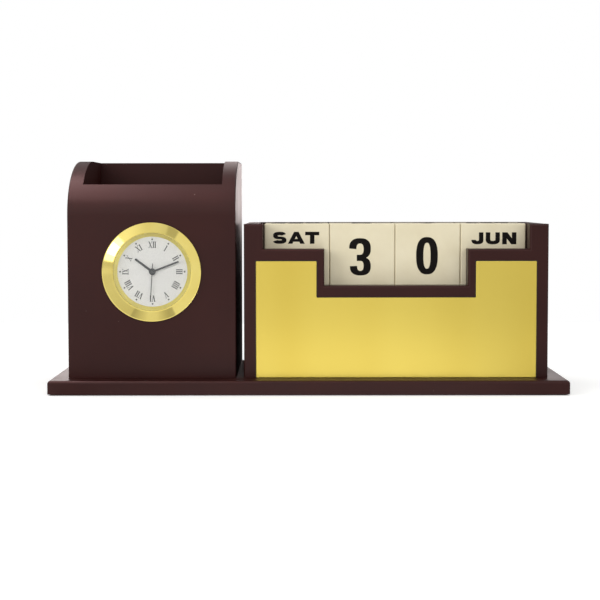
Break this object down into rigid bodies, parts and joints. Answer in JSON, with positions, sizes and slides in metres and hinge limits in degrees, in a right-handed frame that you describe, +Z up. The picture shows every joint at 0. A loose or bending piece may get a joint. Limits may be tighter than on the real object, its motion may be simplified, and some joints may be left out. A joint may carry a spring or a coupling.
{
  "type": "desk organizer with calendar",
  "caption": "Desk organizer on a flat base: curved-top pen box with an insert clock, beside a calendar box of lift-out cubes with a card slot behind.",
  "frame": {"origin": "bottom centre of the base, on the surface it stands on", "axes": "+X to the viewer's right, +Y to the back, +Z up; the clock and the calendar face -Y"},
  "size_m": [0.19, 0.077, 0.0859],
  "materials": {
    "lacquered_board": "dark brown satin lacquer on fibreboard",
    "rubber": "matt",
    "steel": "zinc plated",
    "satin_brass": "satin",
    "polished_brass": "polished",
    "ivory_plastic": "satin",
    "clear_lens": "clear",
    "dial_white": "matt",
    "hand_grey": "satin",
    "black_plastic": "moulded",
    "white_plastic": "moulded",
    "movement_brass": "plain",
    "soft_iron": "plain",
    "copper_wire": "enamelled",
    "board_green": "satin",
    "bright_steel": "bright",
    "ferrite": "matt"
  },
  "bodies": {
    "organizer": {"base_board": "lacquered_board", "rubber_feet": "rubber", "base_screws": "steel", "pen_left_side": "lacquered_board", "pen_right_side": "lacquered_board", "pen_front": "lacquered_board", "pen_back": "lacquered_board", "calendar_front": "lacquered_board", "calendar_back": "lacquered_board", "calendar_left_end": "lacquered_board", "calendar_right_end": "lacquered_board", "calendar_shelf": "lacquered_board", "shelf_cleats": "lacquered_board", "card_divider": "lacquered_board", "brass_plate": "satin_brass"},
    "day": {"day_cube": "ivory_plastic"},
    "tens": {"tens_cube": "ivory_plastic"},
    "units": {"units_cube": "ivory_plastic"},
    "month": {"month_cube": "ivory_plastic"},
    "clock_insert": {"clock_bezel": "polished_brass", "clock_lens": "clear_lens", "dial_ring": "polished_brass", "clock_dial": "dial_white", "dial_spacer": "white_plastic", "clock_case": "black_plastic", "grip_ring": "rubber", "main_plate": "movement_brass", "train_bridge": "black_plastic", "bridge_screws": "steel", "motor_stator": "soft_iron", "coil_core": "soft_iron", "coil_winding": "copper_wire", "circuit_board": "board_green", "quartz_crystal": "bright_steel", "button_cell": "bright_steel"},
    "seconds": {"second_hand": "hand_grey", "seconds_wheel": "movement_brass"},
    "minutes": {"minute_hand": "hand_grey", "centre_wheel": "movement_brass"},
    "hours": {"hour_hand": "hand_grey", "hour_wheel": "movement_brass"},
    "third": {"third_wheel": "white_plastic"},
    "fifth": {"fifth_wheel": "white_plastic"},
    "rotor": {"motor_rotor": "ferrite"},
    "motion": {"motion_wheel": "white_plastic"},
    "setting": {"set_knob": "white_plastic"},
    "hatch": {"battery_hatch": "black_plastic"}
  },
  "joints": [
    {"name": "day_cube_lift", "type": "slide", "parent": "organizer", "child": "day", "axis": [0, 0, 1], "range_m": [0, 0.03]},
    {"name": "tens_cube_lift", "type": "slide", "parent": "organizer", "child": "tens", "axis": [0, 0, 1], "range_m": [0, 0.03]},
    {"name": "units_cube_lift", "type": "slide", "parent": "organizer", "child": "units", "axis": [0, 0, 1], "range_m": [0, 0.03]},
    {"name": "month_cube_lift", "type": "slide", "parent": "organizer", "child": "month", "axis": [0, 0, 1], "range_m": [0, 0.03]},
    {"name": "clock_pull", "type": "slide", "parent": "organizer", "child": "clock_insert", "axis": [0, -1, 0], "range_m": [0, 0.014]},
    {"name": "second_hand_turn", "type": "hinge", "parent": "clock_insert", "child": "seconds", "pos_m": [-0.05775, -0.028, 0.0445], "axis": [0, 1, 0], "continuous": true},
    {"name": "minute_hand_turn", "type": "hinge", "parent": "clock_insert", "child": "minutes", "pos_m": [-0.05775, -0.028, 0.0445], "axis": [0, 1, 0], "continuous": true},
    {"name": "hour_hand_turn", "type": "hinge", "parent": "clock_insert", "child": "hours", "pos_m": [-0.05775, -0.028, 0.0445], "axis": [0, 1, 0], "continuous": true},
    {"name": "third_wheel_turn", "type": "hinge", "parent": "clock_insert", "child": "third", "pos_m": [-0.05495, -0.028, 0.04935], "axis": [0, 1, 0], "continuous": true},
    {"name": "fifth_wheel_turn", "type": "hinge", "parent": "clock_insert", "child": "fifth", "pos_m": [-0.06269, -0.028, 0.04735], "axis": [0, 1, 0], "continuous": true},
    {"name": "rotor_turn", "type": "hinge", "parent": "clock_insert", "child": "rotor", "pos_m": [-0.06713, -0.028, 0.04528], "axis": [0, 1, 0], "continuous": true},
    {"name": "motion_wheel_turn", "type": "hinge", "parent": "clock_insert", "child": "motion", "pos_m": [-0.05325, -0.028, 0.0419], "axis": [0, 1, 0], "continuous": true},
    {"name": "set_knob_turn", "type": "hinge", "parent": "clock_insert", "child": "setting", "pos_m": [-0.04813, -0.028, 0.0428], "axis": [0, 1, 0], "continuous": true},
    {"name": "hatch_turn", "type": "hinge", "parent": "clock_insert", "child": "hatch", "pos_m": [-0.05775, -0.028, 0.0343], "axis": [0, 1, 0], "range_deg": [0, 40]}
  ],
  "couplings": [
    {"joint": "minute_hand_turn", "follows": "second_hand_turn", "ratio": 0.016667},
    {"joint": "hour_hand_turn", "follows": "second_hand_turn", "ratio": 0.0013889},
    {"joint": "third_wheel_turn", "follows": "second_hand_turn", "ratio": -0.13333},
    {"joint": "fifth_wheel_turn", "follows": "second_hand_turn", "ratio": -5},
    {"joint": "rotor_turn", "follows": "second_hand_turn", "ratio": 30},
    {"joint": "motion_wheel_turn", "follows": "second_hand_turn", "ratio": -0.0055556},
    {"joint": "set_knob_turn", "follows": "second_hand_turn", "ratio": 0.016667}
  ]
}
